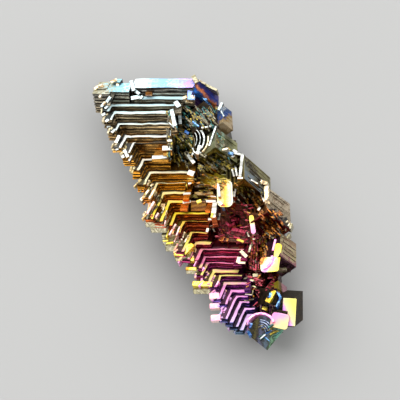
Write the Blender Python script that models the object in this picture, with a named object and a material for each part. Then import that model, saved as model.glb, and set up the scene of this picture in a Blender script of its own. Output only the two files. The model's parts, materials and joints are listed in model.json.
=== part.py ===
"""Bismuth hopper crystal: one grown cluster, lying on its flat back.

The cluster is laid out in its growth pose, in millimetres: X right, Y up, Z
out of its ledged front, where the ledges run down from the upper left to the
lower right. An empty then lays it on its back with its long axis along Y.
"""
import bpy
import bmesh
import random
from math import radians
from mathutils import Euler, Matrix, Vector

NODE = "bismuth_crystal"
MM = 0.001

# From the growth pose to lying down: rolled until the long axis runs along
# Y, then pitched until the back is level.
LIE_ROLL = -30.0
LIE_PITCH = 14.5
BACK_LEVEL = -2.4          # height of the flat back, lying, from the growth origin

# The main hopper. Its own axes are right, back and up, and its ledges start
# at the inner corner of the top ledge.
MAIN_CORNER = (-13.4, 13.6, 0.0)
MAIN_ATTITUDE = (-57.0, -17.3, 0.0)

# One row a ledge, from the top: how far it drops to the next ledge, how deep
# its tread is, how far its corner steps right, how far it runs to the right,
# and how far its left leg reaches forward.
LEDGES = (
    (0.6, 0.8, 1.1, 10.6, 1.2),
    (1.3, 1.2, 0.7, 9.2, 1.4),
    (1.5, 0.8, 0.7, 8.3, 1.6),
    (0.7, 0.8, 1.0, 7.2, 2.8),
    (2.3, 0.6, 1.2, 6.2, 2.3),
    (1.5, 1.0, 1.3, 5.2, 2.2),
    (1.3, 1.0, 0.9, 6.6, 2.6),
    (1.2, 0.5, 1.1, 5.1, 3.2),
    (0.8, 0.8, 0.9, 3.9, 6.0),
    (1.3, 1.2, 1.1, 2.8, 4.4),
    (1.0, 0.8, 0.9, 5.6, 2.6),
    (1.5, 0.5, 1.1, 4.7, 2.4),
    (1.1, 0.6, 1.0, 3.3, 4.4),
    (0.6, 1.0, 0.8, 2.9, 3.8),
    (0.9, 0.6, 0.9, 6.9, 2.4),
    (0.7, 0.5, 0.5, 5.4, 2.6),
    (0.8, 0.5, 0.3, 4.8, 2.8),
    (0.3, 1.0, 1.1, 4.5, 3.0),
    (0.8, 0.6, 1.1, 4.1, 2.4),
    (0.7, 0.8, 0.8, 3.7, 3.5),
    (0.5, 0.8, 0.9, 3.6, 3.0),
    (0.6, 0.6, 0.8, 2.4, 5.4),
    (0.7, 0.5, 0.7, 1.8, 4.8),
    (0.6, 0.6, 0.6, 1.9, 4.2),
    (0.8, 0.6, 0.6, 1.6, 3.6),
)
WING = 1.25                # thickness of the left wing, outward from the corner
LEG_DROP = 0.04            # a leg's top lies this much under its ledge's
LEG_UNDER = 0.3            # and its underside this much under the ledge's riser
LEG_ROOT = 1.5             # how far a leg runs in behind the ledge's front edge

# The wall behind each ledge: how far it stands back from the front edge, how
# deep it is from the top ledge down, and how it overlaps the next wall.
WALL_BACK, WALL_DROP, WALL_OVERLAP = 0.35, 0.02, 1.2
BACK_FIRST, BACK_GAIN, BACK_MOST = 5.2, 1.3, 8.8

# The fine ledges on each riser: height of one, how far each stands out past
# the last, how much shorter it is, and how far it runs on behind the next.
STRIA, STRIA_STEP, STRIA_SHORT, STRIA_OVERLAP = 0.33, 0.07, 0.06, 0.15
RISER_INSET, RISER_DEEP = 0.7, 1.0   # how far a riser is let into the leg and the wall

# The wall that is set back to the right of the ledges: its right end from the
# top down, how far its near and far halves stand back, how far their tops lie
# under the ledge, how deep the far half goes and how much the pieces overlap.
FLANK_FIRST, FLANK_GAIN, FLANK_MOST = 13.6, 0.85, 25.0
FLANK_NEAR, FLANK_FAR = 1.8, 4.2
FLANK_NEAR_DROP, FLANK_FAR_DROP = 0.3, 0.5
FLANK_BACK, FLANK_OVERLAP = 6.4, 1.0
WOBBLE = 0.035             # no two growth steps are quite alike
SEED = 11

# More bars in the main hopper's axes: low and high corner. First the cap
# over the first ledge and the bump on its left shoulder, then the striated
# blocks behind and under the top band.
CAP_BARS = (
    ((-1.6, -0.5, -1.4), (1.0, 2.3, 1.7)),
    ((-1.3, 0.9, 0.4), (0.4, 2.6, 1.95)),
    ((1.0, 2.0, 0.0), (2.1, 3.0, 2.3)),
)
CAP_RISERS = (
    ((4.0, 0.7, 0.5), (13.1, 3.4, 2.0)),
    ((4.3, -0.1, -0.6), (11.8, 2.0, 0.62)),
    ((0.2, -0.1, -0.6), (3.8, 2.6, 1.84)),
)

# Arms at the right ends of ledges: the ledge, left and right side from the
# ledge's end, drop under its top, reach forward, and turn off the legs' way.
ARMS = (
    (0, -9.6, -9.0, -1.3, 1.2, 0),
    (0, -0.1, 1.0, 0.1, 1.5, 10),
    (1, -0.5, 0.4, 0.2, 4.4, 20),
    (3, -0.2, 0.6, 0.1, 1.6, 14),
    (4, -0.6, 0.8, 0.5, 1.5, 6),
    (4, -2.2, 0.3, 1.35, 2.0, 3),
    (6, 0.0, 0.9, 0.1, 1.5, 8),
    (8, -0.1, 0.9, 0.1, 1.0, 5),
    (9, -0.1, 1.1, 0.1, 1.2, 4),
    (10, -0.3, 1.1, -1.0, 0.4, 0),
    (10, 0.4, 1.2, -1.05, 4.2, 20),
    (14, -0.4, 0.6, 0.5, 1.3, 10),
    (15, -0.7, 0.6, 0.2, 1.6, 6),
    (19, -0.2, 0.7, 0.1, 1.1, 12),
)
ARM_THICK = 0.5
ARM_ROOT = 3.2             # how far an arm is rooted in the wall

# Tabs on the ends of the left legs: how far they stand out to the left and
# forward and lie under the leg's top, at least and at most, their thickness,
# and how far they are rooted in the leg sideways and backward.
TAB_OUT, TAB_AHEAD, TAB_DROP = (0.1, 0.6), (0.05, 0.4), (0.1, 0.3)
TAB_THICK, TAB_ROOT_SIDE, TAB_ROOT_BACK = 0.45, 0.3, 1.2

# The crystals down the right side: corner of the front rim, size (across its
# outer face's normal, height, width), attitude, and how many steps its pits
# have in its front and under faces.
OUTWARD = (-55, -30, 35)
CHAIN = (
    ((-0.3, 17.0, 3.0), (2.6, 2.4, 4.2), OUTWARD, 0, 2),
    ((0.5, 13.9, 4.2), (2.7, 4.4, 3.0), (-53, -28, 36), 3, 2),
    ((3.0, 13.6, 2.6), (3.2, 3.8, 2.3), (-52, -26, 33), 0, 0),
    ((2.2, 10.2, 6.2), (3.4, 4.1, 4.3), (-57, -30, 36), 4, 3),
    ((6.2, 6.3, 7.0), (3.4, 4.9, 5.7), (-55, -26, 32), 4, 4),
    ((4.7, 2.9, 6.8), (2.8, 3.7, 3.0), (2, -37, -2), 0, 0),
    ((9.2, 2.0, 7.2), (3.8, 5.2, 5.0), (-53, -28, 34), 4, 4),
    ((7.4, -0.6, 6.4), (4.6, 5.6, 4.6), (6, -6, -4), 5, 0),
    ((8.0, -1.8, 8.2), (1.3, 3.0, 2.6), (2, -37, -4), 0, 0),
    ((10.4, -3.4, 7.0), (3.0, 6.6, 4.4), (4, 8, -4), 3, 0),
    ((11.5, -6.0, 8.4), (2.2, 4.1, 2.6), (2, -37, -6), 0, 0),
    ((11.2, -4.5, 8.2), (2.8, 4.6, 3.2), OUTWARD, 0, 3),
    ((10.9, -11.2, 7.5), (2.2, 1.6, 1.9), (-52, -28, 33), 0, 0),
    ((13.1, -13.6, 11.6), (2.4, 4.2, 4.6), (12, -16, -3), 0, 0),
    ((12.2, -15.5, 11.2), (2.2, 2.3, 4.4), (10, -8, -9), 0, 0),
    ((10.8, -12.3, 10.6), (1.5, 2.3, 4.0), (0, 20, 0), 1, 0),
)
PIT_TREAD, PIT_RISE = 0.40, 0.38   # the tread is wider, so two pits in a block stay apart

# The block at the lower end, which everything else is grown onto.
TIP_CENTRE, TIP_SIZE, TIP_ATTITUDE = (9.2, -18.0, 7.6), (4.0, 3.8, 4.6), (8, 0, -39)
TIP_ROUND, TIP_ROUND_STEPS = 1.5, 4   # its rounded upper corner

# Plain blocks inside the cluster that fill it behind the pits: low and high
# corner in the growth pose, and attitude about the growth origin.
FILLS = (
    ((4.6, -9.0, 1.0), (9.8, 1.8, 3.9), (0, 0, 0)),
    ((2.6, -19.0, 3.2), (6.4, -13.2, 7.0), (0, 0, 8)),
    ((8.4, -17.0, 4.4), (11.2, -12.8, 8.2), (0, 0, 0)),
)

TABLE_LOW, TABLE_HIGH = (-30, -40, BACK_LEVEL - 20), (30, 40, BACK_LEVEL)   # cuts the back flat
SURFACE_COLOUR = (0.46, 0.31, 0.20, 1.0)
SURFACE_ROUGHNESS = 0.28


def clear_scene():
    for old in list(bpy.data.objects):
        bpy.data.objects.remove(old, do_unlink=True)


def new_collection(name):
    collection = bpy.data.collections.new(name)
    bpy.context.scene.collection.children.link(collection)
    return collection


def placed(corner, attitude):
    """The matrix that puts a crystal's own axes into the growth pose."""
    turn = Euler([radians(angle) for angle in attitude]).to_matrix().to_4x4()
    return Matrix.Translation(Vector(corner) * MM) @ turn


def box(low, high):
    """A closed box between two opposite corners."""
    low, high = Vector(low) * MM, Vector(high) * MM
    bm = bmesh.new()
    bmesh.ops.create_cube(bm, size=1.0)
    bmesh.ops.scale(bm, vec=high - low, verts=bm.verts)
    bmesh.ops.translate(bm, vec=(low + high) / 2, verts=bm.verts)
    return bm


def sink_pit(bm, axis, steps):
    """Sink a stepped pit into the face that looks along an axis."""
    axis = Vector(axis)
    bm.normal_update()
    face = max(bm.faces, key=lambda side: side.normal.dot(axis))
    for _ in range(steps):
        bmesh.ops.inset_region(bm, faces=[face], thickness=PIT_TREAD * MM, use_even_offset=True)
        face = bmesh.ops.extrude_discrete_faces(bm, faces=[face])["faces"][0]
        bmesh.ops.translate(bm, vec=axis * (-PIT_RISE * MM), verts=face.verts)


def striated(low, high):
    """A bar as fine ledges, each a little ahead of the one above it."""
    count = max(1, round((high[2] - low[2]) / STRIA))
    fine_rise = (high[2] - low[2]) / count
    for fine in range(count):
        front = low[1] + STRIA_STEP * (count - 1 - fine)
        top = high[2] - fine * fine_rise
        right = high[0] - STRIA_SHORT * (fine + 1)
        yield (low[0], front, top - fine_rise - STRIA_OVERLAP), (right, high[1], top)


def ledge_places():
    """Each ledge's inner side, front edge, top, bottom, right end and leg."""
    x, y, z = 0.0, 0.0, 0.0
    for rise, tread, shift, reach, leg in LEDGES:
        yield x + shift, y - tread, z, z - rise, x + reach, leg
        x, y, z = x + shift, y - tread, z - rise


def main_hopper_bars(wobble):
    """Each ledge's wall and left leg, the wall beside it, and its riser's fine ledges."""
    for number, (inner, front, z, bottom, right, leg) in enumerate(ledge_places()):
        wing = inner - WING
        leg_top = z - LEG_DROP
        yield (wing, front - leg, bottom - LEG_UNDER), (inner, front + LEG_ROOT, leg_top)

        rear = front + min(BACK_FIRST + BACK_GAIN * number, BACK_MOST)
        yield (wing, front + WALL_BACK, bottom - WALL_OVERLAP), (right, rear, z - WALL_DROP)

        flank = min(FLANK_FIRST + FLANK_GAIN * number, FLANK_MOST)
        middle = (right + flank) / 2
        under = bottom - FLANK_OVERLAP
        near_low = (right - FLANK_OVERLAP, front + FLANK_NEAR, under)
        far_low = (middle - FLANK_OVERLAP, front + FLANK_FAR, under)
        yield near_low, (middle, rear, z - FLANK_NEAR_DROP)
        yield far_low, (flank, front + FLANK_BACK, z - FLANK_FAR_DROP)

        yield from striated((inner - RISER_INSET, front, bottom), (right, front + RISER_DEEP, z))

        left = wing - wobble.uniform(*TAB_OUT)
        end = front - leg - wobble.uniform(*TAB_AHEAD)
        tab_top = leg_top - wobble.uniform(*TAB_DROP)
        tab_low = (left, end, tab_top - TAB_THICK)
        yield tab_low, (inner - TAB_ROOT_SIDE, end + TAB_ROOT_BACK, tab_top)


def arm_shapes():
    """The arms, each with the corner that it is turned about."""
    ledges = list(ledge_places())
    for number, left, right, drop, reach, turn in ARMS:
        _, front, top, _, end, _ = ledges[number]
        shape = box((left - right, -reach, -ARM_THICK), (0, ARM_ROOT, 0))
        yield shape, (end + right, front, top - drop), turn


def block_shapes():
    """Every block of the cluster as a closed shape and its place."""
    wobble = random.Random(SEED)
    main_frame = placed(MAIN_CORNER, MAIN_ATTITUDE)
    bars = list(main_hopper_bars(wobble)) + list(CAP_BARS)
    for low, high in CAP_RISERS:
        bars += striated(low, high)
    for low, high in bars:
        low = [side + wobble.uniform(-WOBBLE, WOBBLE) for side in low]
        high = [side + wobble.uniform(-WOBBLE, WOBBLE) for side in high]
        yield box(low, high), main_frame
    for shape, corner, turn in arm_shapes():
        local = Matrix.Translation(Vector(corner) * MM) @ Matrix.Rotation(radians(turn), 4, "Z")
        yield shape, main_frame @ local
    for corner, size, attitude, front_steps, under_steps in CHAIN:
        crystal = box([-side for side in size], (0, 0, 0))
        if front_steps:
            sink_pit(crystal, (0, 0, 1), front_steps)
        if under_steps:
            sink_pit(crystal, (0, -1, 0), under_steps)
        yield crystal, placed(corner, attitude)
    for low, high, attitude in FILLS:
        yield box(low, high), placed((0, 0, 0), attitude)
    yield rounded_tip(), placed(TIP_CENTRE, TIP_ATTITUDE)


def rounded_tip():
    """The lower end: a block whose upper corner is rounded off."""
    half = Vector(TIP_SIZE) / 2
    tip = box(-half, half)
    corner = max(tip.edges, key=lambda edge: sum(v.co.y - v.co.x for v in edge.verts))
    bmesh.ops.bevel(tip, geom=[corner], offset=TIP_ROUND * MM, segments=TIP_ROUND_STEPS,
                    profile=0.5, affect="EDGES")
    return tip


def add_object(name, bm, collection, parent, matrix):
    """Put a finished shape in a collection, under a parent empty."""
    mesh = bpy.data.meshes.new(name)
    bm.to_mesh(mesh)
    bm.free()
    thing = bpy.data.objects.new(name, mesh)
    collection.objects.link(thing)
    thing.parent = parent
    thing.matrix_local = matrix
    return thing


def as_cutter(thing):
    thing.hide_render = True
    thing.display_type = "WIRE"


def bismuth_material():
    """Oxide-tinted bismuth metal."""
    material = bpy.data.materials.new("bismuth_oxide")
    material.use_nodes = True
    shader = material.node_tree.nodes["Principled BSDF"]
    shader.inputs["Base Color"].default_value = SURFACE_COLOUR
    shader.inputs["Metallic"].default_value = 1.0
    shader.inputs["Roughness"].default_value = SURFACE_ROUGHNESS
    return material


def rest_on_origin(crystal, stand):
    """Move the stand so that the back lies on Z = 0, centred on the origin."""
    bpy.context.view_layer.update()
    finished = crystal.evaluated_get(bpy.context.evaluated_depsgraph_get())
    points = [finished.matrix_world @ vertex.co for vertex in finished.data.vertices]
    for axis in (0, 1):
        sides = [point[axis] for point in points]
        stand.location[axis] = -(min(sides) + max(sides)) / 2
    stand.location.z = -BACK_LEVEL * MM


def main():
    clear_scene()
    parts = new_collection(NODE)
    blocks = new_collection("crystal_blocks")
    cutters = new_collection("cutters")

    stand = bpy.data.objects.new("stand", None)
    pose = bpy.data.objects.new("lying_pose", None)
    parts.objects.link(stand)
    parts.objects.link(pose)
    pose.parent = stand
    roll = Matrix.Rotation(radians(LIE_ROLL), 4, "Z")
    pose.matrix_local = Matrix.Rotation(radians(LIE_PITCH), 4, "X") @ roll

    shapes = list(block_shapes())
    core, core_matrix = shapes.pop()    # the rounded tip, which the rest is fused to
    crystal = add_object(NODE, core, parts, pose, core_matrix)
    crystal.data.materials.append(bismuth_material())
    for number, (shape, matrix) in enumerate(shapes):
        as_cutter(add_object(f"block_{number:03d}", shape, blocks, pose, matrix))
    table = box(TABLE_LOW, TABLE_HIGH)
    table_cutter = add_object("flat_back_cutter", table, cutters, stand, Matrix())
    as_cutter(table_cutter)

    union = crystal.modifiers.new("grown_together", "BOOLEAN")
    union.operation = "UNION"
    union.operand_type = "COLLECTION"
    union.collection = blocks
    union.solver = "EXACT"
    flat = crystal.modifiers.new("flat_back", "BOOLEAN")
    flat.operation = "DIFFERENCE"
    flat.object = table_cutter
    flat.solver = "EXACT"
    rest_on_origin(crystal, stand)


main()
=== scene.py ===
import json
import random
from math import cos, pi, radians, sin

import bmesh
import bpy
from mathutils import Euler, Matrix, Vector

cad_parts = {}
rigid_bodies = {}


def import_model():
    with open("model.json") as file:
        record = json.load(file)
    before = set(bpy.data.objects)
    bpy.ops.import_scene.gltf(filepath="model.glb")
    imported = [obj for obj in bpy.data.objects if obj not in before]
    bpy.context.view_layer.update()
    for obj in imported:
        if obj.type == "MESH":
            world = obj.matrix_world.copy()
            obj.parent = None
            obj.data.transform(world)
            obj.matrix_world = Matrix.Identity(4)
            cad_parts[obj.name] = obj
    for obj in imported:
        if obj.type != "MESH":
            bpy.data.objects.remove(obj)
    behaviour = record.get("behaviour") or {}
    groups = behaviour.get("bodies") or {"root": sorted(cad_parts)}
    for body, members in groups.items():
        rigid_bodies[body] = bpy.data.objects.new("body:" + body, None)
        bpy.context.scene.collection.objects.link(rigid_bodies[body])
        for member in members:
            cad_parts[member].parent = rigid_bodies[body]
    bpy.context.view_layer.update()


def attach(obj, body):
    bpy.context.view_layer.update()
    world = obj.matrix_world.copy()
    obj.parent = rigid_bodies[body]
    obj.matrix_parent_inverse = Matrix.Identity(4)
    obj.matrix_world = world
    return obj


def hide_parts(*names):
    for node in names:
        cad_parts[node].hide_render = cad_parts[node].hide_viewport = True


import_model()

mm = 0.001
hair = 0.01       # millimetres within which two levels are one
squareOn = 0.9    # how squarely a chosen face looks along its way

# how the crystal lies: its growth pose (x right, y up, z forward) laid down in the row frame
lying = {"origin": (-1.144, 1.616, 2.4), "pitch": 14.5, "roll": -30.0}
pitched = Matrix.Rotation(radians(lying["pitch"]), 4, "X")
lyingTurn = pitched @ Matrix.Rotation(radians(lying["roll"]), 4, "Z")
lyingFrame = Matrix.Translation(Vector(lying["origin"]) * mm) @ lyingTurn


def placed(corner, attitude):  # a crystal's own axes, in the row frame
    turn = Euler([radians(angle) for angle in attitude]).to_matrix().to_4x4()
    return lyingFrame @ Matrix.Translation(Vector(corner) * mm) @ turn


def wayOf(place, direction):  # a crystal's own direction, in the row frame
    return (place.to_3x3() @ Vector(direction)).normalized()


hopperFrame = placed((-13.4, 13.6, 0.0), (-57.0, -17.3, 0.0))
outward = (-55, -30, 35)  # the attitude that most of the side crystals share


def linear(hexColour):
    values = [int(hexColour[at:at + 2], 16) / 255 for at in (0, 2, 4)]
    return [v / 12.92 if v <= 0.04045 else ((v + 0.055) / 1.055) ** 2.4 for v in values] + [1.0]


class Nodes:  # a material's node tree, with short calls for the nodes used here
    def __init__(self, name):
        self.material = bpy.data.materials.new(name)
        self.material.use_nodes = True
        self.tree = self.material.node_tree
        self.shader = self.tree.nodes["Principled BSDF"]

    def put(self, socket, value):
        if isinstance(value, bpy.types.NodeSocket):
            self.tree.links.new(value, socket)
        else:
            socket.default_value = value

    def add(self, kind, inputs=(), output=0, **settings):
        made = self.tree.nodes.new(kind)
        for setting, value in settings.items():
            setattr(made, setting, value)
        for socket, value in dict(inputs).items():
            self.put(made.inputs[socket], value)
        return made.outputs[output]

    def math(self, operation, first, second=0.0, third=0.0):
        return self.add("ShaderNodeMath", {0: first, 1: second, 2: third}, operation=operation)

    def noise(self, vector, scale, detail, bend=0.0):
        inputs = {"Vector": vector, "Scale": scale, "Detail": detail, "Distortion": bend}
        return self.add("ShaderNodeTexNoise", inputs)

    def stretch(self, vector, grain):
        return self.add("ShaderNodeVectorMath", {0: vector, 1: grain}, operation="MULTIPLY")

    def sway(self, value, noise, amount):  # a value that a noise moves up and down
        return self.math("MULTIPLY_ADD", self.math("SUBTRACT", noise, 0.5), amount, value)

    def mix(self, share, first, second, blend="MIX"):
        inputs = {0: share, 6: first, 7: second}
        return self.add("ShaderNodeMix", inputs, output=2, data_type="RGBA", blend_type=blend)

    def ramp(self, place, stops):
        made = self.tree.nodes.new("ShaderNodeValToRGB")
        elements = made.color_ramp.elements
        while len(elements) < len(stops):
            elements.new(0.5)
        for element, (position, hexColour) in zip(elements, stops):
            element.position = position
            element.color = linear(hexColour)
        self.tree.links.new(place, made.inputs[0])
        return made.outputs[0]

    def ownAxes(self, place):  # Object coordinates in a crystal's own axes, in millimetres
        inputs = {
            "Vector": self.add("ShaderNodeTexCoord", output=3),
            "Location": place.translation,
            "Rotation": place.to_euler(),
            "Scale": (mm, mm, mm),
        }
        return self.add("ShaderNodeMapping", inputs, vector_type="TEXTURE")

    def facing(self, way, least, most):  # 0 to 1 as the surface turns towards a way
        normal = self.add("ShaderNodeNewGeometry", output=1)
        inputs = {0: normal, 1: way}
        cosine = self.add("ShaderNodeVectorMath", inputs, output=1, operation="DOT_PRODUCT")
        inputs = {"Value": cosine, 1: least, 2: most}
        return self.add("ShaderNodeMapRange", inputs, interpolation_type="SMOOTHSTEP")

    def across(self, growth, start, end):  # 0 to 1 from one growth x and y to another
        start, way = Vector((*start, 0)), Vector((*end, 0)) - Vector((*start, 0))
        way /= way.length_squared
        along = self.add("ShaderNodeVectorMath", {0: growth, 1: way}, output=1, operation="DOT_PRODUCT")
        return self.math("SUBTRACT", along, start.dot(way))

    def finish(self, colour, noise, rough, roughSpread, relief, distance, strength, fixed=()):
        inputs = self.shader.inputs
        bump = self.add("ShaderNodeBump", {"Height": relief, "Distance": distance, "Strength": strength})
        self.put(inputs["Base Color"], colour)
        self.put(inputs["Roughness"], self.math("MULTIPLY_ADD", noise, roughSpread, rough))
        self.put(inputs["Normal"], bump)
        for socket, value in dict(fixed).items():
            self.put(inputs[socket], value)
        return self.material


film = {  # the oxide film: colours from the top of the growth pose (0) to its tip (1)
    "top": 17.5, "length": 37.8, "drift": 0.035,
    "bloom": 0.85,                        # how matt and pale the film is on the treads
    "streak": 0.85, "treadStreak": 0.2,   # how dark the streaks are on risers and on treads
    "streaked": (0.42, 0.62),             # noise between which a streak sets in
    "wander": 0.35, "fine": 2.6, "stripe": 1.1,   # how fine its three noises are
    "front": (0.5, 0.85), "litSpan": 0.2,         # how squarely a face has to look forward, and up
    "rough": 0.10, "roughSpread": 0.24, "stripeRelief": 1.2, "relief": 0.00005, "strength": 0.7,
    "dark": "0c0705", "shadow": "0a0604",
    "treads": (
        (0.00, "b0e4ff"), (0.08, "ccf4ff"), (0.18, "f0fffc"), (0.28, "fffcf4"), (0.38, "fff8cc"),
        (0.50, "ffe030"), (0.575, "ffd468"), (0.62, "fff070"), (0.65, "ff98b4"), (0.70, "ff88b8"),
        (0.725, "fff080"), (0.745, "ffe888"), (0.775, "ffa0dc"), (0.84, "ffb0e4"), (0.91, "ecc8ff"),
        (1.00, "98b8c8"),
    ),
    "risers": (
        (0.00, "8c9498"), (0.10, "a49c88"), (0.20, "b4986c"), (0.30, "d8a048"), (0.40, "fcac30"),
        (0.50, "dc7828"), (0.58, "cc5838"), (0.66, "cc4870"), (0.74, "b04490"), (0.84, "7c60b8"),
        (0.94, "506488"), (1.00, "5c7468"),
    ),
    # the faces that look neither forward nor up: the film's colours darkened, painted shade
    "sides": (
        (0.00, "3c4448"), (0.14, "343834"), (0.26, "443c28"), (0.40, "644418"), (0.50, "5c3014"),
        (0.60, "4c2020"), (0.70, "4c1834"), (0.85, "2c2048"), (1.00, "243440"),
    ),
}


def makeFilm(name, settings, place, litWay, litFrom, shade=0.0, grain=(0.2, 1.0, 4.0)):
    n = Nodes(name)
    growth = n.ownAxes(lyingFrame)
    wandering = n.noise(growth, settings["wander"], detail=3.0)
    fine = n.noise(growth, settings["fine"], detail=4.0)
    height = n.add("ShaderNodeSeparateXYZ", {0: growth}, output=1)
    along = n.math("DIVIDE", n.math("SUBTRACT", settings["top"], height), settings["length"])
    along = n.sway(along, wandering, settings["drift"] * 2)
    along = n.sway(along, fine, settings["drift"])
    lit = n.facing(litWay, litFrom, litFrom + settings["litSpan"])
    front = n.facing(wayOf(place, (0, -1, 0)), *settings["front"])
    stripes = n.noise(n.stretch(n.ownAxes(place), grain), settings["stripe"], detail=3.0)
    clear, streaked = settings["streaked"]
    dark = n.add("ShaderNodeMapRange", {"Value": stripes, 1: clear, 2: streaked, 4: settings["streak"]})
    colour = n.mix(front, n.ramp(along, settings["sides"]), n.ramp(along, settings["risers"]))
    colour = n.mix(dark, colour, linear(settings["dark"]))
    treadPlace = along
    if "span" in settings:  # treads whose colours run sideways
        treadPlace = n.sway(n.across(growth, *settings["span"]), fine, settings["spanDrift"])
    treads = n.ramp(treadPlace, settings["treads"])
    paled = n.mix(n.math("MULTIPLY", dark, settings["treadStreak"]), treads, colour)
    colour = n.mix(lit, colour, paled)
    # painted shade: the colour is darkened towards the shadow colour by the share given as shade
    if shade:
        colour = n.mix(shade, colour, linear(settings["shadow"]))
    relief = n.math("MULTIPLY_ADD", stripes, settings["stripeRelief"], fine)
    metallic = n.math("MULTIPLY_ADD", lit, -settings["bloom"], 1.0)
    return n.finish(colour, fine, settings["rough"], settings["roughSpread"], relief,
                    settings["relief"], settings["strength"], {"Metallic": metallic})


treadWay = wayOf(hopperFrame, (0, 0, 1))
hopperFilm = makeFilm("hopperFilm", film, hopperFrame, treadWay, litFrom=0.75)
# the layers: riser colours on their treads too, and a little painted shade
layerFilmAndShade = makeFilm("layerFilmAndShade", dict(film, bloom=0.3, treadStreak=0.9, treads=film["risers"]),
                     hopperFrame, treadWay, litFrom=0.75, shade=0.05)
# painted shade: the walls behind the ledges, darkened towards the shadow colour
wallShadeFilm = makeFilm("wallShadeFilm", dict(film, bloom=0.1, treads=film["risers"]),
                    hopperFrame, treadWay, litFrom=0.8, shade=0.6)
# painted shade: the grooves and the recesses under the lips, darkened nearly to the shadow colour
grooveShadeFilm = makeFilm("grooveShadeFilm", film, hopperFrame, treadWay, litFrom=0.8, shade=0.92)
plateFilm = makeFilm("plateFilm", dict(film, bloom=0.75, streak=0.9, treadStreak=0.7, treads=(
    (0.00, "d8f8ff"), (0.20, "f4fffc"), (0.40, "fffcf0"), (0.55, "fffae4"), (0.66, "fff4c8"),
    (0.80, "fff0b0"), (0.90, "ffd8e8"), (1.00, "d8e8e8"),
)), hopperFrame, treadWay, litFrom=0.6)
bandSpan = ((-15.4, 16.4), (-0.6, 16.4))   # growth x and y where the colours of the band begin and end
bandFilm = makeFilm("bandFilm", dict(film, bloom=0.8, span=bandSpan, spanDrift=0.5, treads=(
    (0.00, "807c60"), (0.14, "b4b098"), (0.24, "94ccd8"), (0.34, "a8ecff"), (0.39, "ffffff"),
    (0.50, "e0f4f8"), (0.60, "a8e4ff"), (0.70, "90ccfc"), (0.79, "d0f0ff"), (0.88, "b0b8ff"),
    (0.935, "e8a8f0"), (0.97, "b8b0fc"), (1.00, "a0acf8"),
)), hopperFrame, treadWay, litFrom=0.7)

sideFilm = dict(  # the film on the side crystals
    film, drift=0.08, bloom=0.5, streak=0.8, treadStreak=0.6,
    treads=(
        (0.00, "5c7490"), (0.12, "647878"), (0.20, "7c8468"), (0.32, "747048"), (0.42, "84681c"),
        (0.52, "7c3820"), (0.60, "743028"), (0.68, "b46018"), (0.78, "f4b8b8"), (0.88, "fcf0a0"),
        (1.00, "a8c8c8"),
    ),
    risers=(
        (0.00, "30407c"), (0.12, "384870"), (0.20, "586c50"), (0.30, "6c6828"), (0.38, "7c6418"),
        (0.45, "54300c"), (0.54, "6c1c20"), (0.62, "882040"), (0.68, "b85c20"), (0.78, "6c2050"),
        (0.88, "8c5c8c"), (1.00, "40605c"),
    ),
    sides=(
        (0.00, "34407c"), (0.10, "3c3c6c"), (0.16, "5c5c50"), (0.26, "847c60"), (0.40, "8c8468"),
        (0.60, "80705c"), (0.75, "94706c"), (0.90, "6c5454"), (1.00, "506464"),
    ),
)
chainFrame = placed((0, 0, 0), outward)
chainGrain = (1.0, 4.0, 0.3)    # stretches their streaks
chainLit = wayOf(lyingFrame, (-0.62, 0.62, 0.48))   # the way their bright faces look
chainFilm = makeFilm("chainFilm", sideFilm, chainFrame, chainLit, litFrom=0.6, grain=chainGrain)
chainShade = makeFilm("chainShade", sideFilm, chainFrame, chainLit,
                      litFrom=0.85, shade=0.7, grain=chainGrain)
# painted shade: the set-back walls, darkened towards the shadow colour
hollowShadeFilm = makeFilm("hollowShadeFilm", sideFilm, chainFrame, chainLit,
                      litFrom=0.9, shade=0.35, grain=chainGrain)

tone = {"size": 1.3, "bend": 0.6, "from": 0.32, "to": 0.68, "roughSpread": 0.3, "strength": 0.8}
coatRough = 0.08


def makeTone(name, stops, grain=(1.0, 1.0, 1.0), metallic=0.6, rough=0.12, bump=0.00006, coat=0.5,
             gloss=0.5):  # a film with colours in clouds or streaks
    n = Nodes(name)
    cloud = n.noise(n.stretch(n.ownAxes(chainFrame), grain), tone["size"], detail=4.0, bend=tone["bend"])
    spread = n.add("ShaderNodeMapRange", {"Value": cloud, 1: tone["from"], 2: tone["to"]})
    fixed = {
        "Metallic": metallic, "Specular IOR Level": gloss,
        "Coat Weight": coat, "Coat Roughness": coatRough,
    }
    return n.finish(n.ramp(spread, stops), cloud, rough, tone["roughSpread"], cloud, bump,
                    tone["strength"], fixed)


tones = {
    "cream": ((0.0, "4c3c28"), (0.3, "b09468"), (0.55, "f0dcb0"), (0.8, "fff4dc"), (1.0, "94744c")),
    "gold": ((0.0, "d88c08"), (0.35, "ffd428"), (0.7, "fff070"), (1.0, "ffe450")),
    "rose": ((0.0, "c860b0"), (0.35, "f88cc8"), (0.7, "ffb8d0"), (1.0, "e484e0")),
    "crimson": ((0.0, "4c0c1c"), (0.4, "bc2c48"), (0.7, "f05478"), (1.0, "741c30")),
    "ember": ((0.0, "401404"), (0.4, "b4540c"), (0.7, "e08c28"), (1.0, "502008")),
    "blush": ((0.0, "a87868"), (0.35, "e0b0a8"), (0.6, "f4ccc8"), (0.8, "c890a8"), (1.0, "c89c58")),
    "slate": ((0.0, "34405c"), (0.4, "6c7ca0"), (0.7, "b4c0dc"), (1.0, "40505c")),
    "shell": ((0.0, "5c5030"), (0.3, "a49c74"), (0.5, "6c6448"), (0.7, "bcb494"), (1.0, "7c6c50")),
    "blue": ((0.0, "18284c"), (0.4, "2c6cb8"), (0.7, "8cc4f0"), (1.0, "243c78")),
}
toneFilms = {name: makeTone(name + "Film", stops) for name, stops in tones.items()}
toneFilms["pale"] = plateFilm
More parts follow.
